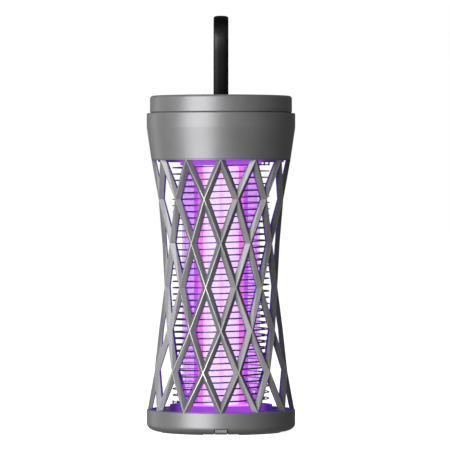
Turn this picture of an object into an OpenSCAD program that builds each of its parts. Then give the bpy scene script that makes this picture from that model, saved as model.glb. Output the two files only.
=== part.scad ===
// Portable electric bug zapper: a grey plastic lantern with a lattice cage, two wound
// wire grids round an ultraviolet lamp, a catch tray in the base and the electronics in the head.
// Millimetres. The origin is the centre of the foot plane, +Z is up and -Y is the front.

/* [Body] */
// Height from the feet to the top of the cap
body_h = 226; // [220:1:232]
// Widest diameter, at the base and at the band of the head
body_d = 100; // [98:1:104]
// Height of the base up to its deck
base_h = 15.1; // [14.6:0.1:16]
// Height of the head below the cap
head_h = 31.2; // [30.5:0.1:32]
// Height of the cap
cap_h = 11.2; // [10.5:0.1:12]
// Wall of the plastic shells
wall = 2; // [1.8:0.1:2.2]

/* [Cage] */
// Struts that lean each way round the cage
strut_n = 12; // [10:1:14]
// Width of a strut, measured level
strut_w = 5.5; // [4.8:0.1:5.8]
// Depth of a strut from its crest to its back
strut_depth = 3.2; // [2.9:0.1:3.6]
// Width of the flat crest of a strut
strut_crest = 0.5; // [0.4:0.1:0.8]

/* [Grids] */
// Radius of the outer winding, at the middle of its wire
outer_grid_r = 32.3; // [31.8:0.1:32.6]
// Radius of the inner winding, at the middle of its wire
inner_grid_r = 29.2; // [28.8:0.1:29.4]
// Diameter of the grid wire
wire_d = 0.8; // [0.6:0.1:0.9]
// Rise of a winding in one turn
grid_pitch = 4.25; // [4.1:0.05:4.4]
// Half turns in each winding
half_turns = 75; // [69:2:75]

/* [Lamp] */
// Outer radius of the clear lamp tube
lamp_r = 26; // [25:0.1:26.4]
// Outer radius of the frosted inner tube
diffuser_r = 12; // [11:0.1:14]
// Emitters on each face of the light board
led_rows = 13; // [8:1:13]

/* [Handle] */
// Height of the top of the handle above the cap
handle_rise = 54; // [48:1:60]
// Width of the handle's strap
strap_w = 10; // [8:0.5:10]
// Thickness of the handle's strap
strap_t = 4; // [3:0.5:4]
// Outer radius of the handle's arch
arch_r = 20; // [18:0.5:20]

/* [Base] */
// Slots in the deck that let insects fall into the tray
deck_slots = 12; // [8:1:14]
// Width of the finger tab on the tray door
tab_w = 8; // [7:0.1:8.4]
// Height of the rubber feet below the base
foot_h = 0.5; // [0.3:0.1:0.6]

/* [Hidden] */
$fn = 96;

// Colours
grey = "dimgray";
black = "#161616";
steel = "#b8b8bc";
lilac = [0.62, 0.36, 0.95, 0.35];
board_green = "#1f5a3a";

// Levels
base_r = body_d / 2;
cap_bottom = body_h - cap_h;
gasket_h = 0.5;
band_top = cap_bottom - gasket_h;
head_bottom = band_top - head_h;
cage_h = head_bottom - 0.2 - base_h;
gap = 0.2;

// Head
cap_r = base_r - 2.2;
skirt_r = base_r - 3.1;
band_low = band_top - 8.8;
flange_t = 2;
spigot_r = cap_r - 3.6;
spigot_wall = 1.8;
spigot_low = cap_bottom - 6;
dish_r = 36;
dish_floor_r = 34.5;
dish_floor = body_h - 9.6;
dish_low = dish_floor - 2;
rim_hollow_top = body_h - 2.4;
floor_r = 42;
floor_z = head_bottom + 0.3;
floor_t = 2;
floor_top = floor_z + floor_t;

// Handle
pivot_z = body_h - 4.2;
arch_z = body_h + handle_rise - arch_r;
strap_bevel = 0.9;
pin_r = 1.5;
pin_clearance = 0.07;
lug_gap = 0.35;
lug_t = 5;
lug_r = 3.9;
pin_head_r = 2.6;
pin_head_t = 1.2;

// Power button and its switch
button_r = 8.8;
button_gap = 0.2;
button_top = dish_floor + 3.2;
button_flange_r = 10.4;
button_flange_top = dish_low - 0.3;
button_flange_t = 1.6;
button_travel = 1;
board_top = dish_low - 6;
board_t = 1.6;
board_r = 33;
switch_w = 6;
switch_h = 2.2;
plunger_r = 1.7;
plunger_low = board_top + 1.4;
plunger_top = board_top + 3.2;

// Screws
screw_r = 1;
screw_head_r = 1.9;
screw_head_h = 1.3;
cap_screw_place = 40;
cap_screw_n = 4;
lug_top = cap_bottom - 8.5;
board_screw_place = 26;
board_screw_turn = 90;
floor_screw_place = 37;
foot_screw_place = base_r - 4.1;

// Charging port, at the rear of the head
port_z = head_bottom + 14;
port_w = 16;
port_h = 9;
port_face = base_r - 3.9;
cover_t = 1.6;
cover_pivot_y = port_face + gap + cover_t / 2;
cover_pivot_z = port_z - port_h / 2 + cover_t / 2;
usb_w = 8.94;
usb_h = 3.2;
usb_depth = 7.3;
charge_board_t = 1.2;

// Battery and high-voltage module
cell_r = 9.2;
cell_l = 65;
cell_y = 10.6;
cell_z = floor_top + 0.9 + cell_r;
hv_size = [30, 16, 13];
hv_y = -15;

// Grids
wire_r = wire_d / 2;
tail_r = wire_r + 0.1;
grid_low = base_h + 5.3;
grid_high = grid_low + half_turns * grid_pitch / 2;
rib_t = 1.6;
rib_in = lamp_r + 0.4;
rib_foot_in = lamp_r + 1.9;
rib_out = outer_grid_r + 0.5;
rib_slot = wire_d + 0.2;
rib_slot_in = inner_grid_r - wire_r - 0.1;
ring_in = lamp_r + 1.7;
ring_out = outer_grid_r + 2.2;
ring_low_top = base_h + 3.2;
grid_screw_place = (ring_in + ring_out) / 2;
grid_screw_turn = 90;
grid_lead_place = outer_grid_r - 1.4;
grid_lead_turns = [-20, -40];
ring_high_low = head_bottom - 1;

// Lamp
lamp_wall = 1.4;
lamp_foot_h = 3.2;
lamp_collar_h = 4.2;
lamp_cup = 2;
lamp_cup_gap = 0.05;
lamp_low = base_h + lamp_foot_h - lamp_cup;
lamp_high = floor_z - lamp_collar_h + lamp_cup;
diffuser_wall = 1.2;
led_board_w = 14;
led_board_t = 1.2;
led_size = [3.5, 0.7, 3.5];
lamp_lead_x = 3;
lamp_lead_y = -2.5;

// Base
base_round_w = 8.3;
base_round_h = 5.4;
shell_low = foot_h;
door_opening_r = 39.2;
door_r = 38.7;
door_low = shell_low + 0.3;
door_t = 1.6;
tab_gap = 0.65;
notch_top = 4.5;
hinge_y = 41;
hinge_z = door_low + door_t / 2;
hinge_r = 1.3;
hinge_pin_r = 0.6;
knuckle_w = 8;
hinge_w = 18;
cage_ring_in = base_r - 6;
cage_ring_out = base_r - 1.6;
cage_ring_h = 2.6;
cage_seat = 1.8;
foot_arc = 56;
foot_in = 39.9;
foot_out = 41.6;

// Share of the cage's height for each row of crossings, bottom up, and how far its crests lie in
// from the base's radius
row_share = [0, 0.156, 0.321, 0.492, 0.667, 0.843, 1];
row_inset = [0.7, 4, 8.4, 10.9, 10.5, 6.8, 3.25];
row_top = len(row_share) - 1;
top_ring_h = 0.4;

// Points of an arc or elliptic round, from angle a to angle b about a centre
function round_points(cx, cy, rx, ry, a, b, n) =
    [for (i = [0:n]) [cx + rx * cos(a + (b - a) * i / n), cy + ry * sin(a + (b - a) * i / n)]];

// Heights at which a winding crosses the direction at angle a about Z
function crossing_z(a, i) =
    grid_low + grid_pitch * (i + (sin(a) < 0 ? 0.25 : 0.75) + (sin(a) < 0 ? 0.25 : -0.25) * cos(a));

module ring(r_out, r_in, h) {
    difference() {
        cylinder(r = r_out, h = h);
        translate([0, 0, -1]) cylinder(r = r_in, h = h + 2);
    }
}

// Repeats its children n times round Z, the first at angle first
module around(n, first = 0) {
    for (i = [0:n - 1]) rotate([0, 0, first + i * 360 / n]) children();
}

// A block with its corners rounded in plan
module rounded_block(size, r) {
    x = size[0] / 2 - r;
    y = size[1] / 2 - r;
    union() {
        translate([-size[0] / 2, -y, 0]) cube([size[0], 2 * y, size[2]]);
        translate([-x, -size[1] / 2, 0]) cube([2 * x, size[1], size[2]]);
        for (sx = [-1, 1], sy = [-1, 1]) translate([sx * x, sy * y, 0]) cylinder(r = r, h = size[2], $fn = 32);
    }
}

// A pan-head screw with a cross recess: the seat of its head is at the origin, its shank runs up
module screw(length, r = screw_r) {
    difference() {
        union() {
            cylinder(r = r, h = length, $fn = 32);
            translate([0, 0, -screw_head_h]) cylinder(r = screw_head_r, h = screw_head_h, $fn = 32);
        }
        for (a = [0, 90]) rotate([0, 0, a])
            translate([-1.2, -0.25, -screw_head_h - 0.1]) cube([2.4, 0.5, 0.8]);
    }
}

function unit(v) = v / norm(v);

// Direction of a route at point i: the mean of the stretches on either side of it
function route_way(p, i) =
    unit((i > 0 ? unit(p[i] - p[i - 1]) : [0, 0, 0]) + (i < len(p) - 1 ? unit(p[i + 1] - p[i]) : [0, 0, 0]));

// An insulated lead: an eight-sided tube swept along a route of points
module lead(points, r) {
    n = 8;
    last = len(points) - 1;
    rings = [for (i = [0:last])
        let (way = route_way(points, i), side = unit(cross(way, [0.5, 1, 0])), up = cross(way, side))
        for (k = [0:n - 1]) points[i] + r * (cos(k * 360 / n) * side + sin(k * 360 / n) * up)];
    sides = [for (i = [0:last - 1], k = [0:n - 1], t = [0, 1])
        t == 0 ? [i * n + k, i * n + (k + 1) % n, (i + 1) * n + k]
               : [i * n + (k + 1) % n, (i + 1) * n + (k + 1) % n, (i + 1) * n + k]];
    ends = [[for (k = [n - 1:-1:0]) k], [for (k = [0:n - 1]) last * n + k]];
    polyhedron(rings, concat(sides, ends));
}

// ---- Head ----

module top_cap() {
    color(grey) difference() {
        union() {
            rotate_extrude() polygon(concat(
                [[0, dish_floor], [dish_floor_r, dish_floor], [dish_r, body_h - 0.6], [dish_r + 0.6, body_h]],
                round_points(cap_r - 2, body_h - 2, 2, 2, 90, 0, 6),
                [[cap_r, cap_bottom + 0.3], [cap_r - 0.3, cap_bottom], [spigot_r, cap_bottom],
                 [spigot_r, spigot_low], [spigot_r - spigot_wall, spigot_low],
                 [spigot_r - spigot_wall, rim_hollow_top], [dish_r + 2, rim_hollow_top],
                 [dish_floor_r + 2, dish_low], [0, dish_low]]));
            around(cap_screw_n, 45) translate([cap_screw_place, 0, lug_top])
                cylinder(r = 2.8, h = rim_hollow_top - lug_top + 0.5, $fn = 48);
            around(3, board_screw_turn) translate([board_screw_place, 0, board_top])
                cylinder(r = 2.6, h = dish_low - board_top + 0.5, $fn = 48);
            for (s = [-1, 1]) pivot_lug(s);
        }
        translate([0, 0, dish_low - 1]) cylinder(r = button_r + button_gap, h = 5);
        translate([0, -27, dish_low - 1]) cylinder(r = 1.6, h = 5, $fn = 32);
        around(cap_screw_n, 45) translate([cap_screw_place, 0, lug_top - 1])
            cylinder(r = screw_r, h = 10, $fn = 32);
        around(3, board_screw_turn) translate([board_screw_place, 0, board_top - 1])
            cylinder(r = screw_r, h = 6, $fn = 32);
        translate([0, 0, pivot_z]) rotate([90, 0, 0])
            cylinder(r = pin_r, h = 2 * arch_r + 16, center = true, $fn = 48);
    }
}

// The upright in the cap's dish that holds one pivot pin
module pivot_lug(side) {
    y = arch_r + lug_gap;
    rotate([0, 0, side > 0 ? 0 : 180]) union() {
        translate([-lug_r, y, dish_low + 0.5]) cube([2 * lug_r, lug_t, pivot_z - dish_low - 0.5]);
        translate([0, y + lug_t, pivot_z]) rotate([90, 0, 0]) cylinder(r = lug_r, h = lug_t, $fn = 48);
    }
}

module cap_gasket() {
    color(black) translate([0, 0, band_top]) ring(cap_r - 0.5, spigot_r + 0.1, gasket_h);
}

module head_housing() {
    taper_r = base_r - 0.05;
    color(grey) difference() {
        union() {
            rotate_extrude() polygon([
                [skirt_r - wall, head_bottom], [skirt_r - 0.4, head_bottom], [skirt_r, head_bottom + 0.4],
                [taper_r, band_low - 1.2], [base_r, band_low + 0.4], [base_r, band_top - 0.4],
                [base_r - 0.4, band_top], [spigot_r + gap, band_top], [spigot_r + gap, band_top - flange_t],
                [base_r - wall, band_top - flange_t], [base_r - wall, band_low],
                [taper_r - wall, band_low - 1.2]]);
            around(cap_screw_n, 45) intersection() {
                translate([cap_screw_place - 3.6, -4, lug_top - 3]) cube([12, 8, 3]);
                cylinder(r = base_r - 1, h = body_h);
            }
            // Posts of the head floor's screws
            around(4, 45) intersection() {
                translate([floor_screw_place - 3.2, -3.2, floor_top]) cube([14, 6.4, 8]);
                cylinder(r = skirt_r - 0.6, h = body_h);
            }
            // Shelf of the charging board
            intersection() {
                translate([-10, port_face - 11, port_z - usb_h / 2 - charge_board_t - 1.5])
                    cube([20, 12, 1.5]);
                cylinder(r = skirt_r + 0.4, h = body_h);
            }
            intersection() {
                translate([-port_w / 2 - 1.5, port_face - 3, port_z - port_h / 2 - 1.5])
                    cube([port_w + 3, 5, port_h + 3]);
                cylinder(r = skirt_r + 0.3, h = body_h);
            }
        }
        around(cap_screw_n, 45) translate([cap_screw_place, 0, lug_top - 4])
            cylinder(r = screw_r + 0.3, h = 6, $fn = 32);
        around(4, 45) translate([floor_screw_place, 0, floor_top - 1]) cylinder(r = screw_r, h = 8, $fn = 32);
        // Pocket of the port cover and the mouth of the socket
        translate([0, port_face + 5, port_z]) rotate([90, 0, 0]) translate([0, 0, -5])
            linear_extrude(10) square([port_w + 0.6, port_h + 0.6], center = true);
        translate([-usb_w / 2 - 0.15, port_face - 6, port_z - usb_h / 2 - 0.15])
            cube([usb_w + 0.3, 8, usb_h + 0.3]);
    }
}

module head_floor() {
    color(grey) difference() {
        translate([0, 0, floor_z]) cylinder(r = floor_r, h = floor_t);
        translate([0, 0, floor_z - 1]) cylinder(r = diffuser_r + gap, h = floor_t + 2);
        around(4, 45) translate([floor_screw_place, 0, floor_z - 1])
            cylinder(r = screw_r + 0.3, h = 5, $fn = 32);
        around(3, grid_screw_turn) translate([grid_screw_place, 0, floor_z - 1])
            cylinder(r = screw_r + 0.3, h = 5, $fn = 32);
        for (a = grid_lead_turns) rotate([0, 0, a]) translate([grid_lead_place, 0, floor_z - 1])
            cylinder(r = 1.1, h = 5, $fn = 32);
    }
}

module cap_screws() {
    color(steel) around(cap_screw_n, 45) translate([cap_screw_place, 0, lug_top - 3]) screw(9);
}

module floor_screws() {
    color(steel) around(4, 45) translate([floor_screw_place, 0, floor_z]) screw(8);
}

// ---- Handle ----

module strap_outline() {
    x = strap_w / 2;
    y = strap_t / 2;
    b = strap_bevel;
    polygon([[-x, -y + b], [-x + b, -y], [x - b, -y], [x, -y + b],
             [x, y - b], [x - b, y], [-x + b, y], [-x, y - b]]);
}

module handle() {
    mid = arch_r - strap_t / 2;
    color(black) difference() {
        union() {
            translate([0, 0, arch_z]) rotate([90, 0, 90]) rotate_extrude(angle = 180)
                translate([mid, 0]) rotate(90) strap_outline();
            for (s = [-1, 1]) translate([0, s * mid, 0]) {
                translate([0, 0, pivot_z]) linear_extrude(arch_z - pivot_z) strap_outline();
                translate([0, 0, pivot_z]) rotate([90, 0, 0]) {
                    cylinder(r = strap_w / 2, h = strap_t - 2 * strap_bevel, center = true);
                    cylinder(r = strap_w / 2 - strap_bevel, h = strap_t, center = true);
                }
            }
        }
        translate([0, 0, pivot_z]) rotate([90, 0, 0])
            cylinder(r = pin_r + pin_clearance, h = 2 * arch_r + 4, center = true, $fn = 48);
    }
}

module handle_pins() {
    inner = arch_r - strap_t - gap;
    color(steel) for (a = [0, 180]) rotate([0, 0, a]) translate([0, 0, pivot_z]) rotate([-90, 0, 0]) {
        translate([0, 0, inner]) cylinder(r = pin_r, h = strap_t + gap + lug_gap + lug_t - 0.8, $fn = 48);
        translate([0, 0, inner - pin_head_t]) cylinder(r = pin_head_r, h = pin_head_t, $fn = 48);
    }
}

// ---- Switch and electronics ----

module power_button() {
    color(grey) union() {
        rotate_extrude() polygon(concat(
            [[0, button_flange_top - button_flange_t], [button_flange_r, button_flange_top - button_flange_t],
             [button_flange_r, button_flange_top], [button_r, button_flange_top]],
            round_points(button_r - 1, button_top - 1, 1, 1, 0, 90, 5),
            [[button_r - 3, button_top - 0.3], [0, button_top - 0.6]]));
        translate([0, 0, plunger_top])
            cylinder(r = 2.4, h = button_flange_top - button_flange_t - plunger_top, $fn = 48);
    }
}

module switch_plunger() {
    color(black) translate([0, 0, plunger_low])
        cylinder(r = plunger_r, h = plunger_top - plunger_low, $fn = 48);
}

module switch_body() {
    color(steel) difference() {
        translate([-switch_w / 2, -switch_w / 2, board_top]) cube([switch_w, switch_w, switch_h]);
        translate([0, 0, board_top + 0.3]) cylinder(r = plunger_r + 0.06, h = switch_h, $fn = 48);
    }
}

module indicator_light() {
    color("palegreen") translate([0, -27, board_top + 0.8]) union() {
        cylinder(r = 1.5, h = dish_floor + 0.4 - board_top - 0.8, $fn = 32);
        cylinder(r = 2.2, h = dish_low - 0.2 - board_top - 0.8, $fn = 32);
    }
}

module main_board() {
    color(board_green) difference() {
        translate([0, 0, board_top - board_t]) cylinder(r = board_r, h = board_t);
        around(3, board_screw_turn) translate([board_screw_place, 0, board_top - board_t - 1])
            cylinder(r = screw_r + 0.2, h = board_t + 2, $fn = 32);
    }
}

module board_components() {
    under = board_top - board_t;
    color(black) union() {
        translate([-20, -4, board_top]) cube([9, 9, 1.6]);
        translate([10, -16, board_top]) cube([6, 5, 1.4]);
        translate([8, 8, board_top]) cube([7, 7, 3]);
        translate([-12, 14, board_top]) cylinder(r = 3.2, h = 5, $fn = 48);
        translate([-0.8, -27.5, board_top]) cube([1.6, 1, 0.6]);
        translate([-14, -22, under - 3]) cube([10, 5, 3]);
        translate([6, -22, under - 3]) cube([6, 5, 3]);
    }
}

module board_screws() {
    color(steel) around(3, board_screw_turn) translate([board_screw_place, 0, board_top - board_t]) screw(5);
}

module battery_cell() {
    color("steelblue") translate([-cell_l / 2, cell_y, cell_z]) rotate([0, 90, 0]) union() {
        cylinder(r = cell_r, h = cell_l);
        translate([0, 0, cell_l]) cylinder(r = 3, h = 1, $fn = 48);
    }
}

module battery_cradle() {
    end_t = 1.5;
    contact_gap = 1.4;
    color(black) difference() {
        translate([-cell_l / 2 - end_t - contact_gap, cell_y - cell_r - 1.6, floor_top])
            cube([cell_l + 2 * (end_t + contact_gap), 2 * cell_r + 3.2, cell_r]);
        translate([-cell_l / 2 - contact_gap, cell_y, cell_z]) rotate([0, 90, 0])
            cylinder(r = cell_r + gap, h = cell_l + 2 * contact_gap);
    }
}

module high_voltage_module() {
    color("darkgoldenrod") union() {
        translate([-hv_size[0] / 2, hv_y - hv_size[1] / 2, floor_top]) cube(hv_size);
        translate([-8, hv_y, floor_top + hv_size[2]]) cylinder(r = 4, h = 2.4, $fn = 48);
    }
}

module charge_board() {
    color(board_green) translate([-9, port_face - 3 - usb_depth - 1.3, port_z - usb_h / 2 - charge_board_t])
        cube([18, usb_depth + 1.2, charge_board_t]);
}

module usb_socket() {
    y = port_face - 2.5 - usb_depth;
    color(steel) difference() {
        translate([0, y, port_z]) rotate([-90, 0, 0]) linear_extrude(usb_depth) usb_outline(0);
        translate([0, y + 1, port_z]) rotate([-90, 0, 0]) linear_extrude(usb_depth) difference() {
            usb_outline(0.3);
            square([6.6, 0.7], center = true);
        }
    }
}

// The stadium outline of a USB-C shell, set in from its outside by inset
module usb_outline(inset) {
    r = usb_h / 2;
    union() {
        square([usb_w - 2 * r, usb_h - 2 * inset], center = true);
        for (s = [-1, 1]) translate([s * (usb_w / 2 - r), 0]) circle(r = r - inset, $fn = 32);
    }
}

module port_cover() {
    y = port_face + gap;
    color(grey) union() {
        translate([-port_w / 2, y, cover_pivot_z]) cube([port_w, cover_t, port_h - cover_t / 2]);
        translate([-port_w / 2, cover_pivot_y, cover_pivot_z]) rotate([0, 90, 0])
            cylinder(r = cover_t / 2, h = port_w, $fn = 32);
        translate([-3.6, y - 1, port_z - 1]) cube([7.2, 1.2, 2]);
        translate([-3, y + cover_t - 0.2, port_z + port_h / 2 - 1.6]) cube([6, 0.5, 1]);
    }
}

// ---- Leads inside the head and lamp ----

module battery_leads() {
    z = board_top - board_t;
    x = cell_l / 2 + 0.6;
    color("firebrick") for (s = [-1, 1])
        lead([[s * x, cell_y - 2, cell_z + 3], [s * x, cell_y - 8, z - 6], [s * 20, 2, z - 3],
              [s * 20, 2, z]], 0.5);
}

module charge_leads() {
    z = board_top - board_t;
    y = port_face - 3 - usb_depth - 0.3;
    color(black) for (s = [-1, 1])
        lead([[s * 3, y, port_z - usb_h / 2], [s * 3, y, port_z + 2], [s * 3, y - 7.5, z - 3.5],
              [s * 3, y - 7.5, z]], 0.45);
}

module lamp_leads() {
    z = board_top - board_t;
    color("firebrick") for (s = [-1, 1])
        lead([[s * lamp_lead_x, lamp_lead_y, lamp_high - 1], [s * lamp_lead_x, lamp_lead_y, floor_top + 8],
              [s * 5, -4, z - 4], [s * 5, -4, z]], 0.5);
}

module grid_leads() {
    z = floor_top + 7;
    color("mediumpurple") for (a = grid_lead_turns) {
        x = grid_lead_place * cos(a);
        y = grid_lead_place * sin(a);
        end_y = hv_y + (a + 30) / 4;
        lead([[x, y, floor_z], [x, y, floor_top + 4], [hv_size[0] / 2 + 5, end_y, z],
              [hv_size[0] / 2, end_y, z]], 0.8);
    }
}

// ---- Lamp ----

module lamp_tube() {
    color(lilac) translate([0, 0, lamp_low]) ring(lamp_r, lamp_r - lamp_wall, lamp_high - lamp_low);
}

module diffuser_tube() {
    color([0.95, 0.75, 1, 0.6]) translate([0, 0, lamp_low]) ring(diffuser_r, diffuser_r - diffuser_wall,
        lamp_high - lamp_low);
}

module led_board() {
    color("white") translate([-led_board_w / 2, -led_board_t / 2, lamp_low])
        cube([led_board_w, led_board_t, lamp_high - lamp_low]);
}

module uv_leds() {
    step = (lamp_high - lamp_low - 10) / led_rows;
    color("violet") for (i = [0:led_rows - 1], s = [-1, 1])
        translate([-led_size[0] / 2, s > 0 ? led_board_t / 2 : -led_board_t / 2 - led_size[1],
                   lamp_low + 5 + (i + 0.5) * step - led_size[2] / 2]) cube(led_size);
}

// The cup at either end of the lamp that holds both tubes
module lamp_end(h) {
    difference() {
        cylinder(r = lamp_r + 1.4, h = h);
        translate([0, 0, h - lamp_cup])
            ring(lamp_r + lamp_cup_gap, lamp_r - lamp_wall - lamp_cup_gap, lamp_cup + 1);
        translate([0, 0, h - lamp_cup]) cylinder(r = diffuser_r + lamp_cup_gap, h = lamp_cup + 1);
    }
}

module lamp_foot() {
    color("mediumpurple") translate([0, 0, base_h]) lamp_end(lamp_foot_h);
}

module lamp_collar() {
    color("mediumpurple") difference() {
        translate([0, 0, floor_z]) mirror([0, 0, 1]) lamp_end(lamp_collar_h);
        for (s = [-1, 1]) translate([s * lamp_lead_x, lamp_lead_y, lamp_high - 1])
            cylinder(r = 0.8, h = 5, $fn = 24);
    }
}

// ---- Grids ----

// Section of the grid wire, eight-sided, at a radius of winding
function wire_section(radius) =
    [for (k = [0:7]) [radius + wire_r * cos(k * 45 + 22.5), wire_r * sin(k * 45 + 22.5)]];

// A right-handed winding made of half rings, each tilted so that its ends meet the next inside
// a small weld bead
module winding(radius) {
    tilt = asin(grid_pitch / 4 / radius);
    trim = asin(0.12 / radius);
    reach = radius * cos(tilt);
    union() {
        for (i = [0:half_turns - 1])
            translate([0, 0, grid_low + (i + 0.5) * grid_pitch / 2])
                rotate([0, i % 2 == 0 ? -tilt : tilt, 0])
                rotate([0, 0, (i % 2 == 0 ? 180 : 0) + trim])
                rotate_extrude(angle = 180 - 2 * trim) polygon(wire_section(radius));
        for (i = [1:half_turns - 1])
            translate([i % 2 == 0 ? -reach : reach, 0, grid_low + i * grid_pitch / 2])
                sphere(r = wire_r + 0.06, $fn = 24);
        // Crimped tails that stand in the end rings
        for (end = [[-1, ring_low_top - 1, grid_low + wire_r + 0.2],
                    [1, grid_high - wire_r - 0.2, ring_high_low + 1]])
            translate([end[0] * reach, 0, end[1]]) cylinder(r = tail_r, h = end[2] - end[1], $fn = 24);
    }
}

module outer_grid_wire() { color(steel) winding(outer_grid_r); }

module inner_grid_wire() { color(steel) winding(inner_grid_r); }

// Comb-edged posts that space both windings, narrowed where they pass the cups of the lamp
module grid_ribs() {
    low = ring_low_top - 1.5;
    high = floor_z;
    step_low = base_h + lamp_foot_h + 0.3;
    step_high = floor_z - lamp_collar_h - 0.3;
    color([0.9, 0.85, 1, 0.4]) for (a = [45, 135, 225, 315]) {
        crossings = sin(a) < 0 ? ceil(half_turns / 2) : floor(half_turns / 2);
        rotate([0, 0, a]) rotate([90, 0, 0]) translate([0, 0, -rib_t / 2]) linear_extrude(rib_t) polygon(concat(
            [[rib_foot_in, low], [rib_foot_in, step_low], [rib_in, step_low],
             [rib_in, step_high], [rib_foot_in, step_high], [rib_foot_in, high], [rib_out, high]],
            [for (i = [crossings - 1:-1:0], k = [0:3])
                [k == 0 || k == 3 ? rib_out : rib_slot_in,
                 crossing_z(a, i) + (k < 2 ? rib_slot / 2 : -rib_slot / 2)]],
            [[rib_out, low]]));
    }
}

// The ring at either end of the grids, with slots for the ribs and holes for the wire tails
module grid_ring(low, h, slot_low, tail_x) {
    difference() {
        translate([0, 0, low]) ring(ring_out, ring_in, h);
        for (a = [45, 135, 225, 315]) rotate([0, 0, a])
            translate([ring_in - 1, -rib_t / 2 - 0.05, slot_low])
                cube([rib_out - ring_in + 1.1, rib_t + 0.1, 1.6]);
        for (r = [outer_grid_r, inner_grid_r])
            translate([tail_x * r * cos(asin(grid_pitch / 4 / r)), 0, slot_low])
                cylinder(r = tail_r + 0.05, h = 1.6, $fn = 24);
        around(3, grid_screw_turn) translate([grid_screw_place, 0, low - 1])
            cylinder(r = screw_r, h = h + 2, $fn = 32);
    }
}

module grid_top_ring() {
    color("mediumpurple") grid_ring(ring_high_low, floor_z - ring_high_low, ring_high_low - 0.1, 1);
}

module grid_bottom_ring() {
    color("mediumpurple") grid_ring(base_h, ring_low_top - base_h, ring_low_top - 1.55, -1);
}

module grid_screws() {
    color(steel) {
        around(3, grid_screw_turn) translate([grid_screw_place, 0, base_h - wall]) screw(wall + 2.8);
        around(3, grid_screw_turn) translate([grid_screw_place, 0, floor_top])
            mirror([0, 0, 1]) screw(floor_t + 1.1);
    }
}

// ---- Cage ----

// Rounds to a hundredth, so that struts which share a crossing share its corners exactly
function snap(v) = round(v * 100) / 100;

function row_z(i) = snap(base_h + cage_h * row_share[i]);
function row_r(i) = base_r - row_inset[i];

// Level outline of a strut: a narrow crest, sloping flanks, short sides and a flat back
strut_outline = [
    [-strut_crest / 2, 0], [strut_crest / 2, 0], [strut_w / 2, strut_depth - 0.6],
    [strut_w / 2, strut_depth], [-strut_w / 2, strut_depth], [-strut_w / 2, strut_depth - 0.6]
];

// A thin level slice of a strut at a crossing. The place counts crossings round the cage,
// and the end rows keep their slices within the cage.
module strut_slice(row, place) {
    a = 360 / strut_n * ((place + strut_n) % strut_n);
    slice = 0.3;
    low = row == 0 ? 0 : row == row_top ? -slice : -slice / 2;
    translate([0, 0, row_z(row) + low]) linear_extrude(slice) polygon([for (p = strut_outline)
        let (x = p[0], y = p[1] - row_r(row)) [snap(x * cos(a) - y * sin(a)), snap(x * sin(a) + y * cos(a))]]);
}

module cage() {
    color(grey) union() {
        for (row = [0:row_top - 1], i = [0:strut_n - 1], lean = [-0.5, 0.5]) hull() {
            strut_slice(row, i + (row % 2) / 2);
            strut_slice(row + 1, i + (row % 2) / 2 + lean);
        }
        // Foot ring, seated in the base
        difference() {
            translate([0, 0, base_h - cage_ring_h]) ring(cage_ring_out, cage_ring_in, cage_ring_h + 0.2);
            around(4, 45) translate([foot_screw_place, 0, base_h - cage_ring_h - 1])
                cylinder(r = screw_r + 0.1, h = 2.6, $fn = 16);
        }
        // Top ring and the spigot inside the head's skirt
        translate([0, 0, head_bottom - top_ring_h]) ring(skirt_r, skirt_r - strut_depth + 0.1, top_ring_h);
        translate([0, 0, head_bottom - top_ring_h])
            ring(skirt_r - wall - gap, floor_r + gap, floor_top + top_ring_h - head_bottom);
    }
}

// ---- Base ----

// Outline of the base's outer round, from the foot plane up to the wall
function base_edge(inset) =
    round_points(base_r - base_round_w, base_round_h, base_round_w - inset, base_round_h - shell_low - inset,
        -90, 0, 8);

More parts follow.
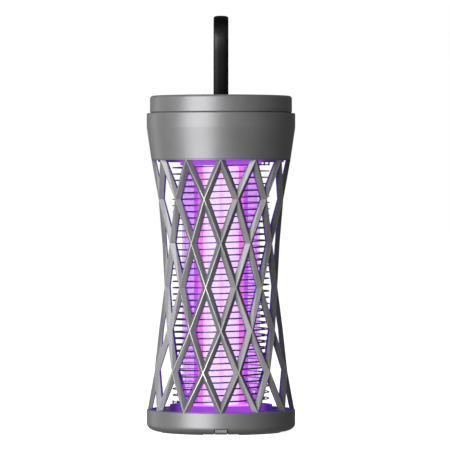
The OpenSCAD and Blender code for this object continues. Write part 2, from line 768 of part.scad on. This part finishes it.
module base_shell() {
    color(grey) difference() {
        union() {
            rotate_extrude() polygon(concat(
                [[door_opening_r, shell_low]], base_edge(0),
                [[base_r, base_h - 0.4], [base_r - 0.4, base_h], [0, base_h], [0, base_h - wall],
                 [cage_ring_in - 1.6, base_h - wall], [cage_ring_in - 1.6, base_h - cage_ring_h - cage_seat],
                 [base_r - wall, base_h - cage_ring_h - cage_seat]],
                [for (p = [8:-1:0]) base_edge(wall)[p]],
                [[door_opening_r, shell_low + wall]]));
            // Hinge block
            intersection() {
                translate([-hinge_w / 2 - 1.6, door_opening_r - 0.2, shell_low]) cube([hinge_w + 3.2, 7, 4]);
                cylinder(r = base_r - 3, h = base_h);
                rotate_extrude()
                    polygon(concat([[0, shell_low]], base_edge(0), [[base_r, base_h], [0, base_h]]));
            }
        }
        // Groove of the cage's foot ring and the holes of its screws
        translate([0, 0, base_h - cage_ring_h - 0.05])
            ring(cage_ring_out + 0.1, cage_ring_in - 0.1, cage_ring_h + 1);
        around(4, 45) translate([foot_screw_place, 0, base_h - cage_ring_h - cage_seat - 1])
            cylinder(r = screw_r + 0.3, h = 5, $fn = 32);
        around(3, grid_screw_turn) translate([grid_screw_place, 0, base_h - wall - 1])
            cylinder(r = screw_r + 0.3, h = 5, $fn = 32);
        // Slots that drop insects into the tray
        around(deck_slots, 180 / deck_slots) rotate([0, 0, -9.5]) translate([0, 0, base_h - wall - 1])
            rotate_extrude(angle = 19) translate([ring_out + 0.8, 0])
                square([cage_ring_in - ring_out - 3.2, wall + 2]);
        // Notch of the finger tab
        translate([-tab_w / 2 - tab_gap, -base_r - 1, -1]) cube([tab_w + 2 * tab_gap, 14, notch_top + 1]);
        // Pocket of the door's knuckle, and the bore of its pin
        translate([-knuckle_w / 2 - 0.3, hinge_y - 4, -1])
            cube([knuckle_w + 0.6, 4 + hinge_r + 0.4, hinge_z + hinge_r + 1.4]);
        translate([-hinge_w / 2, hinge_y, hinge_z])
            rotate([0, 90, 0]) cylinder(r = hinge_pin_r, h = hinge_w, $fn = 32);
        // Seats of the feet
        around(4, 45) rotate([0, 0, -foot_arc / 2]) translate([0, 0, shell_low - 1])
            rotate_extrude(angle = foot_arc) translate([foot_in, 0]) square([foot_out - foot_in, 1.6]);
    }
}

module foot_pads() {
    color(black) around(4, 45) rotate([0, 0, -foot_arc / 2])
        rotate_extrude(angle = foot_arc) translate([foot_in, 0]) square([foot_out - foot_in, shell_low + 0.6]);
}

module base_screws() {
    color(steel) around(4, 45)
        translate([foot_screw_place, 0, base_h - cage_ring_h - cage_seat]) screw(3.3);
}

module tray_door() {
    lip_r = door_r - 0.9;
    tab_face = base_r - 0.9;
    plate_top = door_low + door_t;
    color(grey) difference() {
        union() {
            translate([0, 0, door_low]) cylinder(r = door_r, h = door_t);
            translate([0, 0, plate_top - 0.1]) ring(lip_r, lip_r - 1.2, 1.2);
            // Finger tab, carried out through the notch
            translate([-tab_w / 2, 0, 0]) rotate([90, 0, 90]) linear_extrude(tab_w) polygon([
                [-door_r + 2, door_low], [-door_r + 2, plate_top], [-tab_face + 1.6, plate_top],
                [-tab_face + 1.6, notch_top - 0.4], [-tab_face, notch_top - 0.4], [-tab_face, 2.2],
                [-tab_face + 1.8, door_low]]);
            // Hinge knuckle
            translate([-knuckle_w / 2, 0, 0]) {
                translate([0, door_r - 4, door_low]) cube([knuckle_w, hinge_y - door_r + 4, door_t]);
                translate([0, hinge_y, hinge_z])
                    rotate([0, 90, 0]) cylinder(r = hinge_r, h = knuckle_w, $fn = 48);
            }
        }
        translate([0, hinge_y, hinge_z]) rotate([0, 90, 0])
            cylinder(r = hinge_pin_r + 0.06, h = 2 * hinge_w, center = true, $fn = 32);
    }
}

module door_hinge_pin() {
    color(steel) translate([-hinge_w / 2, hinge_y, hinge_z]) rotate([0, 90, 0])
        cylinder(r = hinge_pin_r, h = hinge_w, $fn = 32);
}

top_cap();
cap_gasket();
head_housing();
head_floor();
cap_screws();
floor_screws();
handle();
handle_pins();
power_button();
switch_plunger();
switch_body();
indicator_light();
main_board();
board_components();
board_screws();
battery_cell();
battery_cradle();
high_voltage_module();
charge_board();
usb_socket();
port_cover();
battery_leads();
charge_leads();
lamp_leads();
grid_leads();
lamp_tube();
diffuser_tube();
led_board();
uv_leds();
lamp_collar();
lamp_foot();
outer_grid_wire();
inner_grid_wire();
grid_ribs();
grid_top_ring();
grid_bottom_ring();
grid_screws();
cage();
base_shell();
base_screws();
tray_door();
door_hinge_pin();
foot_pads();
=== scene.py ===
import math

import bpy
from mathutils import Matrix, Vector


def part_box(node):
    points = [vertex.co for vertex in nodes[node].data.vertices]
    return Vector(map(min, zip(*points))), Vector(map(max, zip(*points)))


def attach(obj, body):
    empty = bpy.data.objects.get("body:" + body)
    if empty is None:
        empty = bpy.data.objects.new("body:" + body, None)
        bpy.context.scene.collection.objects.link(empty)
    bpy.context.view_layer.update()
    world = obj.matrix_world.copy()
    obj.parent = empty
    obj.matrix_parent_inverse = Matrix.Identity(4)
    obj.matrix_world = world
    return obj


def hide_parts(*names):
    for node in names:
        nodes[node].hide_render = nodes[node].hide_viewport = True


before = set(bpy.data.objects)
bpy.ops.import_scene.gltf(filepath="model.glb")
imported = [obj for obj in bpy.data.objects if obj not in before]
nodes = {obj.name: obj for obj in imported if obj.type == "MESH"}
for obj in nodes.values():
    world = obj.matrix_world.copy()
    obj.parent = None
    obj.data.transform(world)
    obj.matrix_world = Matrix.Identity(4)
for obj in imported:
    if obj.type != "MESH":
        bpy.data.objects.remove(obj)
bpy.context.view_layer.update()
scene = bpy.context.scene
scene.view_settings.view_transform = "Standard"
scene.cycles.transparent_max_bounces = 40


# ---- Camera ----

# How far the camera and its aim stand to the right of the lamp's axis
SIDEWAYS = 0.0027

cam_data = bpy.data.cameras.new("camera")
cam_data.sensor_width = 36.0
cam_data.lens = 316.0
cam_data.clip_start = 0.1
cam_data.clip_end = 100.0
cam = bpy.data.objects.new("camera", cam_data)
scene.collection.objects.link(cam)
cam.location = (SIDEWAYS, -2.66, 0.163)
aim = Vector((SIDEWAYS, 0.0, 0.1391))
cam.rotation_euler = (aim - cam.location).to_track_quat("-Z", "Y").to_euler()
scene.camera = cam


# ---- Shader helpers ----

class Shader:
    """A node material built step by step."""

    def __init__(self, name):
        self.mat = bpy.data.materials.new(name)
        self.mat.use_nodes = True
        self.tree = self.mat.node_tree
        self.tree.nodes.clear()
        self.out = self.tree.nodes.new("ShaderNodeOutputMaterial")
        self.where = self.tree.nodes.new("ShaderNodeTexCoord").outputs["Object"]

    def node(self, kind, **settings):
        n = self.tree.nodes.new(kind)
        for key, value in settings.items():
            setattr(n, key, value)
        return n

    def link(self, a, b):
        self.tree.links.new(a, b)

    def give(self, socket, value):
        """Links an output to a socket, or sets a constant on it."""
        if hasattr(value, "is_output"):
            self.link(value, socket)
        else:
            socket.default_value = value

    def math(self, operation, a, b=0.0):
        n = self.node("ShaderNodeMath", operation=operation)
        self.give(n.inputs[0], a)
        self.give(n.inputs[1], b)
        return n.outputs["Value"]

    def height(self):
        """The point's height in the rest pose, in metres."""
        n = self.node("ShaderNodeSeparateXYZ")
        self.link(self.where, n.inputs["Vector"])
        return n.outputs["Z"]

    def level_place(self):
        """The point's place with its height taken out."""
        n = self.node("ShaderNodeVectorMath", operation="MULTIPLY")
        self.link(self.where, n.inputs[0])
        n.inputs[1].default_value = (1, 1, 0)
        return n.outputs["Vector"]

    def noise(self, scale, detail=3.0, rough=0.5, stretch=None):
        """A noise value between 0 and 1. Scale is in cycles a metre."""
        n = self.node("ShaderNodeTexNoise")
        n.inputs["Scale"].default_value = scale
        n.inputs["Detail"].default_value = detail
        n.inputs["Roughness"].default_value = rough
        source = self.where
        if stretch:
            m = self.node("ShaderNodeMapping")
            m.inputs["Scale"].default_value = stretch
            self.link(source, m.inputs["Vector"])
            source = m.outputs["Vector"]
        self.link(source, n.inputs["Vector"])
        return n.outputs["Fac"]

    def span(self, value, low, high, start=0.3, end=0.7):
        """Maps start..end of a value to low..high."""
        n = self.node("ShaderNodeMapRange")
        self.link(value, n.inputs["Value"])
        n.inputs["From Min"].default_value = start
        n.inputs["From Max"].default_value = end
        n.inputs["To Min"].default_value = low
        n.inputs["To Max"].default_value = high
        return n.outputs["Result"]

    def mix(self, factor, a, b):
        """A colour between a and b."""
        n = self.node("ShaderNodeMix", data_type="RGBA")
        self.link(factor, n.inputs["Factor"])
        for key, value in (("A", a), ("B", b)):
            socket = [i for i in n.inputs if i.name == key and i.type == "RGBA"][0]
            self.give(socket, value if hasattr(value, "is_output") else (*value, 1.0))
        return [o for o in n.outputs if o.type == "RGBA"][0]

    def cloudy(self, color, spread, scale):
        """A colour that drifts lighter and darker by spread."""
        cloud = self.span(self.noise(scale, 3), 0.0, 1.0)
        return self.mix(cloud, scaled(color, 1 - spread), scaled(color, 1 + spread))

    def bump(self, height, strength, distance=0.00012):
        n = self.node("ShaderNodeBump")
        n.inputs["Strength"].default_value = strength
        n.inputs["Distance"].default_value = distance
        self.link(height, n.inputs["Height"])
        return n.outputs["Normal"]

    def principled(self, color, rough, normal, **values):
        n = self.node("ShaderNodeBsdfPrincipled")
        self.link(color, n.inputs["Base Color"])
        self.link(rough, n.inputs["Roughness"])
        self.link(normal, n.inputs["Normal"])
        for key, value in values.items():
            self.give(n.inputs[key.replace("_", " ")], value)
        return n.outputs["BSDF"]

    def emission(self, color, strength=1.0):
        n = self.node("ShaderNodeEmission")
        self.give(n.inputs["Color"], color)
        self.give(n.inputs["Strength"], strength)
        return n.outputs["Emission"]

    def blend(self, factor, a, b):
        """Surface a where the factor is 0, surface b where it is 1."""
        n = self.node("ShaderNodeMixShader")
        self.give(n.inputs["Fac"], factor)
        self.link(a, n.inputs[1])
        self.link(b, n.inputs[2])
        return n.outputs["Shader"]

    def add(self, a, b):
        n = self.node("ShaderNodeAddShader")
        self.link(a, n.inputs[0])
        self.link(b, n.inputs[1])
        return n.outputs["Shader"]

    def done(self, surface):
        self.link(surface, self.out.inputs["Surface"])
        return self.mat


def scaled(color, k):
    return tuple(c * k for c in color)


# ---- Where the lamp's light is painted on the plastic ----

# Heights of the deck and of the cage's top, and how far out the lamp's light is painted on the deck.
DECK, CAGE_TOP = 0.0151, 0.1829
DECK_REACH = 0.0482
# Heights between which no reflection of the lamp is painted on the plastic, and how far aside the painted
# reflection fades out.
LOW_POOL_TOP, HIGH_POOL_FOOT = 0.019, 0.1795
POOL_FADE = (0.0225, 0.031)


def faces_lamp(s):
    """1 on faces that look in towards the lamp's axis, 0 on the others."""
    outward = s.node("ShaderNodeVectorMath", operation="NORMALIZE")
    s.link(s.level_place(), outward.inputs[0])
    turn = s.node("ShaderNodeVectorMath", operation="DOT_PRODUCT")
    s.link(outward.outputs["Vector"], turn.inputs[0])
    s.link(s.node("ShaderNodeTexCoord").outputs["Normal"], turn.inputs[1])
    return s.span(turn.outputs["Value"], 1.0, 0.0, 0.25, 0.4)


def under_lamp(s):
    """1 on the deck and the ceiling in front of and behind the lamp, where the lamp's reflection is painted
    on the plastic as a brighter pool of light,
    0 at the sides and at the heights between."""
    across = s.node("ShaderNodeSeparateXYZ")
    s.link(s.where, across.inputs["Vector"])
    near = s.span(s.math("ABSOLUTE", across.outputs["X"]), 1.0, 0.0, *POOL_FADE)
    low = s.span(across.outputs["Z"], 1.0, 0.0, LOW_POOL_TOP - 0.0005, LOW_POOL_TOP)
    high = s.span(across.outputs["Z"], 0.0, 1.0, HIGH_POOL_FOOT, HIGH_POOL_FOOT + 0.0005)
    return s.math("MULTIPLY", near, s.math("ADD", low, high))


def on_deck(s):
    """1 on the deck under the grids, inside the cage's feet, 0 elsewhere."""
    reach = s.node("ShaderNodeVectorMath", operation="LENGTH")
    s.link(s.level_place(), reach.inputs[0])
    inside = s.span(reach.outputs["Value"], 1.0, 0.0, DECK_REACH, DECK_REACH + 0.0003)
    height = s.height()
    above = s.span(height, 0.0, 1.0, DECK - 0.0002, DECK - 0.00005)
    below = s.span(height, 1.0, 0.0, DECK + 0.00025, DECK + 0.00035)
    return s.math("MULTIPLY", s.math("MULTIPLY", above, below), inside)


# ---- Materials ----

def lamplit_face(s):
    """A dark matt face with the lamp's violet light painted on as a glow, brighter in the painted pool in
    front of and behind the lamp.
    """
    matt = s.node("ShaderNodeBsdfDiffuse")
    matt.inputs["Color"].default_value = (0.02, 0.008, 0.05, 1)
    # Painted lamp light: a dim violet glow, brighter where the lamp's reflection is painted.
    glow = s.mix(under_lamp(s), (0.052, 0.018, 0.165), (0.34, 0.06, 0.66))
    return s.add(matt.outputs["BSDF"], s.emission(glow))


def painted_lamplight_plastic(name):
    """Plastic near the lamp, drawn as a dark matt face with the lamp's violet light painted on as a glow."""
    s = Shader(name)
    return s.done(lamplit_face(s))


def moulded(name, color, rough, grain=0.12, metallic=0.0, wear=1.25, lamplit=()):
    """Moulded plastic: a fine spark-eroded grain, cloudy gloss and lighter rubbed edges.
    Lamplit names masks of the surface where the lamp's violet light is painted on as a glow."""
    s = Shader(name)
    cloud = s.noise(55, 4, 0.55)
    tint = s.mix(s.span(cloud, 0.0, 1.0), scaled(color, 0.94), scaled(color, 1.05))
    edge = s.node("ShaderNodeNewGeometry").outputs["Pointiness"]
    rub = s.math("MULTIPLY", s.span(edge, 0.0, 0.55, 0.53, 0.62),
                 s.span(s.noise(240, 5, 0.65), 0.1, 1.0, 0.35, 0.65))
    tint = s.mix(rub, tint, scaled(color, wear))
    gloss = s.span(cloud, rough - 0.03, rough + 0.04)
    skin = s.principled(tint, gloss, s.bump(s.noise(3800, 2, 0.6), grain), Metallic=metallic)
    if not lamplit:
        return s.done(skin)
    mask = lamplit[0](s)
    for more in lamplit[1:]:
        mask = s.math("MAXIMUM", mask, more(s))
    return s.done(s.blend(mask, skin, lamplit_face(s)))


def painted_crest_highlight(name):
    """Grey plastic along the struts' crests, lighter than the cage as a painted highlight, and lighter still
    towards the base.
    """
    s = Shader(name)
    toward_base = s.span(s.height(), 1.0, 0.0, 0.03, 0.10)
    # Painted highlight: the crest is drawn lighter than the cage's grey.
    crest_tint = s.mix(toward_base, (0.30, 0.30, 0.302), (0.52, 0.52, 0.522))
    gloss = s.span(s.noise(35, 3), 0.29, 0.36)
    return s.done(s.principled(crest_tint, gloss, s.bump(s.noise(2600, 2), 0.1), Metallic=0.4))


def black_with_painted_highlight(name):
    """Black handle plastic, its reflection painted strongest just below the arch's top and weaker down the
    legs and at the very top.
    """
    s = Shader(name)
    cloud = s.noise(35, 3)
    height = s.height()
    # Painted highlight: the strength of the gloss is set by height.
    leg = s.span(height, 0.04, 0.09, 0.222, 0.255)
    bend = s.span(height, 0.0, 0.29, 0.255, 0.27)
    top = s.span(height, 1.0, 0.05, 0.27, 0.2745)
    highlight_strength = s.math("MULTIPLY", s.math("ADD", leg, bend), top)
    tint = s.mix(cloud, (0.0025, 0.0025, 0.003), (0.004, 0.004, 0.0045))
    gloss = s.span(cloud, 0.33, 0.4)
    return s.done(s.principled(tint, gloss, s.bump(s.noise(2600, 2), 0.2), Specular_IOR_Level=highlight_strength))


def metal(name, color, rough, stretch=(1, 1, 30)):
    """Drawn or turned metal, with fine marks and a slight stain."""
    s = Shader(name)
    marks = s.noise(900, 4, 0.6, stretch)
    stain = s.span(s.noise(130, 4, 0.6), 0.0, 1.0)
    tint = s.mix(stain, scaled(color, 0.8), scaled(color, 1.1))
    gloss = s.span(marks, rough - 0.06, rough + 0.08)
    return s.done(s.principled(tint, gloss, s.bump(marks, 0.15, 0.0001), Metallic=1.0))


def clear(name, color, glow=None, shine=None):
    """A clear or tinted plastic wall: light passes straight through and takes its colour. A glow is
    added to what is seen through it, and shine is the roughness of a gloss on its front faces only."""
    s = Shader(name)
    through = s.node("ShaderNodeBsdfTransparent")
    s.link(s.mix(s.span(s.noise(40, 3), 0.0, 1.0), scaled(color, 0.97), color), through.inputs["Color"])
    surface = through.outputs["BSDF"]
    if shine:
        gloss = s.node("ShaderNodeBsdfGlossy")
        gloss.inputs["Roughness"].default_value = shine
        gloss.inputs["Color"].default_value = (0.5, 0.5, 0.5, 1)
        edge = s.node("ShaderNodeFresnel")
        edge.inputs["IOR"].default_value = 1.42
        entering = s.math("SUBTRACT", 1.0, s.node("ShaderNodeNewGeometry").outputs["Backfacing"])
        amount = s.math("MULTIPLY", edge.outputs["Fac"], entering)
        surface = s.blend(amount, surface, gloss.outputs["BSDF"])
    if glow:
        surface = s.add(surface, s.emission(s.cloudy(glow, 0.06, 90)))
    return s.done(surface)


def frosted(name, color, see_through):
    """A frosted glowing tube that lets some of what is inside show."""
    s = Shader(name)
    light = s.emission(s.cloudy(color, 0.05, 160))
    through = s.node("ShaderNodeBsdfTransparent").outputs["BSDF"]
    return s.done(s.blend(see_through, light, through))


def lit(name, color):
    """A glowing frosted surface with a slightly uneven light."""
    s = Shader(name)
    return s.done(s.emission(s.cloudy(color, 0.06, 160)))


# ---- Dressing the CAD nodes ----

GREY = (0.150, 0.150, 0.153)
CORE_GLOW = (1.3, 3.05, 1.5)
UV_GLOW = (1.4, 0.3, 1.5)


def dress(names, material):
    """Gives CAD nodes a material in place of their own."""
    for name in names:
        node = nodes[name]
        node.data.materials.clear()
        node.data.materials.append(material)


dress(["top_cap", "head_housing", "power_button", "port_cover", "tray_door", "head_floor"],
      moulded("grey_shell", GREY, 0.40, metallic=0.4))
# On the deck, and on the cage's faces towards the lamp, the lamp's violet light is painted on.
dress(["base_shell"], moulded("grey_base", GREY, 0.40, metallic=0.4, lamplit=(on_deck,)))
dress(["cage"], moulded("grey_cage", GREY, 0.42, metallic=0.4, wear=1.0, lamplit=(faces_lamp, on_deck)))
dress(["cap_gasket"], moulded("gasket_rubber", (0.05, 0.05, 0.05), 0.7, grain=0.35))
dress(["foot_pads"], moulded("foot_rubber", (0.10, 0.10, 0.10), 0.7, grain=0.35))
dress(["switch_plunger", "board_components", "battery_cradle"],
      moulded("black_plastic", (0.02, 0.02, 0.02), 0.5))
# The wires' dark steel is tinted violet as painted lamp light.
dress(["outer_grid_wire", "inner_grid_wire"], metal("grid_steel_painted_violet", (0.06, 0.04, 0.14), 0.34, (6, 6, 6)))
dress(["cap_screws", "floor_screws", "board_screws", "grid_screws", "base_screws", "handle_pins",
       "switch_body", "usb_socket", "door_hinge_pin"], metal("fastener_steel", (0.5, 0.5, 0.52), 0.3))
dress(["main_board", "charge_board"], moulded("solder_mask", (0.03, 0.16, 0.07), 0.35))
dress(["battery_cell"], moulded("cell_sleeve", (0.06, 0.17, 0.4), 0.3, grain=0.05))
dress(["high_voltage_module"], moulded("potting", (0.24, 0.15, 0.03), 0.4))
dress(["battery_leads", "lamp_leads"], moulded("red_lead", (0.4, 0.02, 0.02), 0.45))
dress(["charge_leads"], moulded("black_lead", (0.015, 0.015, 0.015), 0.45))
dress(["grid_leads"], moulded("violet_lead", (0.16, 0.05, 0.35), 0.45))
dress(["indicator_light"], moulded("light_pipe", (0.35, 0.7, 0.42), 0.12, grain=0.02))
# The grid rings' violet is painted lamp light.
dress(["grid_top_ring", "grid_bottom_ring"], painted_lamplight_plastic("grid_rings_painted_lamplight"))
# The collar and the lamp's foot are no lamps: their glow is painted, standing in for the lamp's light through
# translucent plastic.
dress(["lamp_collar"], lit("collar_painted_glow", (0.42, 0.09, 0.80)))
dress(["lamp_foot"], lit("foot_painted_glow", (1.3, 0.41, 1.65)))
dress(["grid_ribs"], clear("clear_ribs", (0.985, 0.975, 1.0)))
dress(["lamp_tube"], clear("clear_lamp_tube", (0.80, 0.78, 0.82), (0.14, 0.03, 0.21), shine=0.2))
dress(["diffuser_tube"], frosted("frosted_core", CORE_GLOW, 0.6))
dress(["led_board"], lit("lit_board", CORE_GLOW))
dress(["uv_leds"], lit("emitters", UV_GLOW))


# ---- Adding pieces ----

def new_object(name, points, faces):
    """An object of Blender's own, linked to the scene."""
    mesh = bpy.data.meshes.new(name)
    mesh.from_pydata(points, [], faces)
    made = bpy.data.objects.new(name, mesh)
    scene.collection.objects.link(made)
    return made


def lantern_piece(name, points, faces, material):
    """A piece of Blender's own that stays with the lantern."""
    piece = new_object(name, points, faces)
    piece.data.materials.append(material)
    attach(piece, "lantern")
    return piece


# ---- Rounded handle strap, in place of the CAD node ----

STRAP_THICK = 0.004
STRAP_ROUNDING = 2.9
STRAP_BORE = 0.00157
END_STEPS, LEG_STEPS, ARCH_STEPS, SECTION_STEPS = 12, 9, 24, 48


def superellipse(half_w, half_t, power, count):
    """Points of a rounded oblong, half_w by half_t."""
    points = []
    for i in range(count):
        a = 2 * math.pi * i / count
        along, across = math.cos(a), math.sin(a)
        points.append((half_w * math.copysign(abs(along) ** (2 / power), along),
                       half_t * math.copysign(abs(across) ** (2 / power), across)))
    return points


def strap_path(half_w, mid, pivot_z, arch_z):
    """Stations up one leg, round the arch and down the other: place, direction out and half width."""
    path = []
    # The leg's rounded end, begun a little way in from its tip
    for i in range(END_STEPS):
        a = math.pi / 2 * (1 - (i + 0.6) / END_STEPS)
        path.append((-mid, pivot_z - half_w * math.sin(a), -1.0, 0.0, half_w * math.cos(a)))
    for i in range(LEG_STEPS):
        path.append((-mid, pivot_z + (arch_z - pivot_z) * i / LEG_STEPS, -1.0, 0.0, half_w))
    for i in range(ARCH_STEPS + 1):
        a = math.pi / 2 * i / ARCH_STEPS
        path.append((-mid * math.cos(a), arch_z + mid * math.sin(a), -math.cos(a), math.sin(a), half_w))
    return path + [(-y, z, -ny, nz, w) for y, z, ny, nz, w in reversed(path[:-1])]


def strap():
    """A strap swept along its path, with a bore at either end for the pivot pins."""
    low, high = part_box("handle")
    half_t = STRAP_THICK / 2
    half_w = high.x
    pivot_z = low.z + half_w
    path = strap_path(half_w, high.y - half_t, pivot_z, high.z - high.y)
    points, faces = [], []
    n = SECTION_STEPS
    for y, z, ny, nz, w in path:
        for u, v in superellipse(w, half_t, STRAP_ROUNDING, n):
            points.append((u, y + v * ny, z + v * nz))
    for i in range(len(path) - 1):
        for k in range(n):
            m = (k + 1) % n
            faces.append((i * n + k, i * n + m, (i + 1) * n + m, (i + 1) * n + k))
    faces.append(tuple(range(n - 1, -1, -1)))
    faces.append(tuple((len(path) - 1) * n + k for k in range(n)))
    piece = new_object("handle_strap", points, faces)
    unbored = piece.data
    bpy.ops.mesh.primitive_cylinder_add(vertices=48, radius=STRAP_BORE, depth=0.06,
                                        location=(0, 0, pivot_z), rotation=(math.pi / 2, 0, 0))
    bore = bpy.context.object
    cut = piece.modifiers.new("bore", "BOOLEAN")
    cut.operation = "DIFFERENCE"
    cut.object = bore
    bored = bpy.data.meshes.new_from_object(piece.evaluated_get(bpy.context.evaluated_depsgraph_get()))
    piece.modifiers.clear()
    piece.data = bored
    bored.name = "handle_strap"
    bpy.data.meshes.remove(unbored)
    bpy.data.objects.remove(bore, do_unlink=True)
    return piece


handle = strap()
bpy.context.view_layer.objects.active = handle
handle.select_set(True)
bpy.ops.object.shade_smooth_by_angle(angle=math.radians(40))
handle.select_set(False)
handle.data.materials.append(black_with_painted_highlight("black_handle"))
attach(handle, "handle")
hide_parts("handle")


# ---- Painted highlights along the struts' crests ----

STRUTS_ROUND = 12
# Each crossing level's share of the cage's height, and its radius at the crests.
CROSSINGS = ((0, 0.0493), (0.156, 0.046), (0.321, 0.0416), (0.492, 0.0391), (0.667, 0.0395),
             (0.843, 0.0432), (1, 0.04675))
CREST_HALF = 0.0003
CREST_SUNK, CREST_PROUD = -0.0001, 0.00004
CREST_SECTION = ((-1, CREST_SUNK), (1, CREST_SUNK), (0.8, CREST_PROUD), (-0.8, CREST_PROUD))


def crest_end(row, place):
    """The four corners of a crest's end at a crossing."""
    share, radius = CROSSINGS[row]
    a = math.radians(360 / STRUTS_ROUND * place)
    out = Vector((math.sin(a), -math.cos(a), 0))
    side = Vector((math.cos(a), math.sin(a), 0))
    base = out * radius + Vector((0, 0, DECK + (CAGE_TOP - DECK) * share))
    return [base + side * across * CREST_HALF + out * proud for across, proud in CREST_SECTION]


def crests():
    """A thin line along the crest of every strut, a hair proud of it, coloured lighter as a painted
    highlight.
    """
    points, faces = [], []
    for row in range(len(CROSSINGS) - 1):
        for i in range(STRUTS_ROUND):
            for lean in (-0.5, 0.5):
                first = len(points)
                place = i + (row % 2) / 2
                points += crest_end(row, place) + crest_end(row + 1, place + lean)
                for q in ((3, 2, 1, 0), (4, 5, 6, 7), (0, 1, 5, 4), (1, 2, 6, 5), (2, 3, 7, 6), (3, 0, 4, 7)):
                    faces.append(tuple(first + k for k in q))
    lantern_piece("cage_crest_highlights", points, faces, painted_crest_highlight("crest_painted_highlight"))


crests()


# ---- Glowing sleeves of the lamp, and a lip under the ceiling with painted lamp light ----

def sleeve(name, radius, low, high, material, steps=96):
    """A thin sleeve round the lamp's axis."""
    points, faces = [], []
    for z in (low, high):
        for i in range(steps):
            a = 2 * math.pi * i / steps
            points.append((radius * math.cos(a), radius * math.sin(a), z))
    for i in range(steps):
        j = (i + 1) % steps
        faces.append((i, j, steps + j, steps + i))
    piece = lantern_piece(name, points, faces, material)
    for face in piece.data.polygons:
        face.use_smooth = True


INSET = 0.0025
tube_low, tube_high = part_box("lamp_tube")
glow_low, glow_high = tube_low.z + INSET, tube_high.z - INSET
sleeve("magenta_sleeve", 0.0155, glow_low, glow_high,
       clear("magenta_glow", (1.0, 1.0, 1.0), (0.48, 0.25, 0.02)))
sleeve("violet_sleeve", 0.0182, glow_low, glow_high,
       clear("violet_glow", (0.60, 0.35, 0.75), (0.09, 0.015, 0.12)))
sleeve("light_rod", 0.0011, glow_low, glow_high, lit("rod_light", UV_GLOW), 16)
# A thin lip under the head that carries the lamp's violet light, painted on.
LIP_RADIUS, LIP_DEPTH = 0.0424, 0.0014
sleeve("ceiling_lip", LIP_RADIUS, CAGE_TOP - LIP_DEPTH, CAGE_TOP, painted_lamplight_plastic("lip_painted_lamplight"))


# ---- Light ----

def area_light(name, place, target, width, height, power):
    data = bpy.data.lights.new(name, "AREA")
    data.shape = "RECTANGLE"
    data.size, data.size_y = width, height
    data.energy = power
    light = bpy.data.objects.new(name, data)
    scene.collection.objects.link(light)
    light.location = place
    light.rotation_euler = (Vector(target) - Vector(place)).to_track_quat("-Z", "Y").to_euler()


def lamp_light(name, z):
    """A violet point light on the lamp's axis."""
    data = bpy.data.lights.new(name, "POINT")
    data.shadow_soft_size = 0.012
    data.energy = 1.2
    data.color = (0.34, 0.07, 1.0)
    light = bpy.data.objects.new(name, data)
    scene.collection.objects.link(light)
    light.location = (0, 0, z)


MIDDLE = (0, 0, 0.13)
area_light("key_softbox", (-0.83, -1.22, 0.32), MIDDLE, 1.3, 1.8, 56)
area_light("left_rim", (-1.1, 0.75, 0.20), MIDDLE, 0.3, 1.2, 2)
for step in range(6):
    lamp_light("lamp_glow_%d" % step, 0.03 + step * 0.028)


# ---- World: white to the camera, dim to everything else ----

def studio_world(seen_strength, fill_strength):
    world = bpy.data.worlds.new("studio")
    world.use_nodes = True
    tree = world.node_tree
    tree.nodes.clear()
    rays = tree.nodes.new("ShaderNodeLightPath")
    either = tree.nodes.new("ShaderNodeMixShader")
    tree.links.new(rays.outputs["Is Camera Ray"], either.inputs["Fac"])
    for place, strength in ((1, fill_strength), (2, seen_strength)):
        shade = tree.nodes.new("ShaderNodeBackground")
        shade.inputs["Color"].default_value = (1, 1, 1, 1)
        shade.inputs["Strength"].default_value = strength
        tree.links.new(shade.outputs["Background"], either.inputs[place])
    out = tree.nodes.new("ShaderNodeOutputWorld")
    tree.links.new(either.outputs["Shader"], out.inputs["Surface"])
    return world


scene.world = studio_world(1.0, 0.17)


# ---- Floor ----

def pale_floor():
    """A near-white floor, bright to the camera and dim as a light source."""
    s = Shader("pale_floor")
    matt = s.node("ShaderNodeBsdfDiffuse")
    s.link(s.mix(s.span(s.noise(3, 3), 0.0, 1.0), (0.86, 0.86, 0.86), (0.9, 0.9, 0.9)), matt.inputs["Color"])
    camera_ray = s.node("ShaderNodeLightPath").outputs["Is Camera Ray"]
    glow = s.emission((1, 1, 1, 1), s.span(camera_ray, 0.12, 0.92, 0.0, 1.0))
    return s.done(s.add(matt.outputs["BSDF"], glow))


FLOOR_HALF = 12.0
corners = [(x * FLOOR_HALF, y * FLOOR_HALF, 0) for x, y in ((-1, -1), (1, -1), (1, 1), (-1, 1))]
floor = new_object("floor", corners, [(0, 1, 2, 3)])
floor.data.materials.append(pale_floor())
floor.visible_diffuse = False
floor.visible_glossy = False
floor.visible_shadow = False
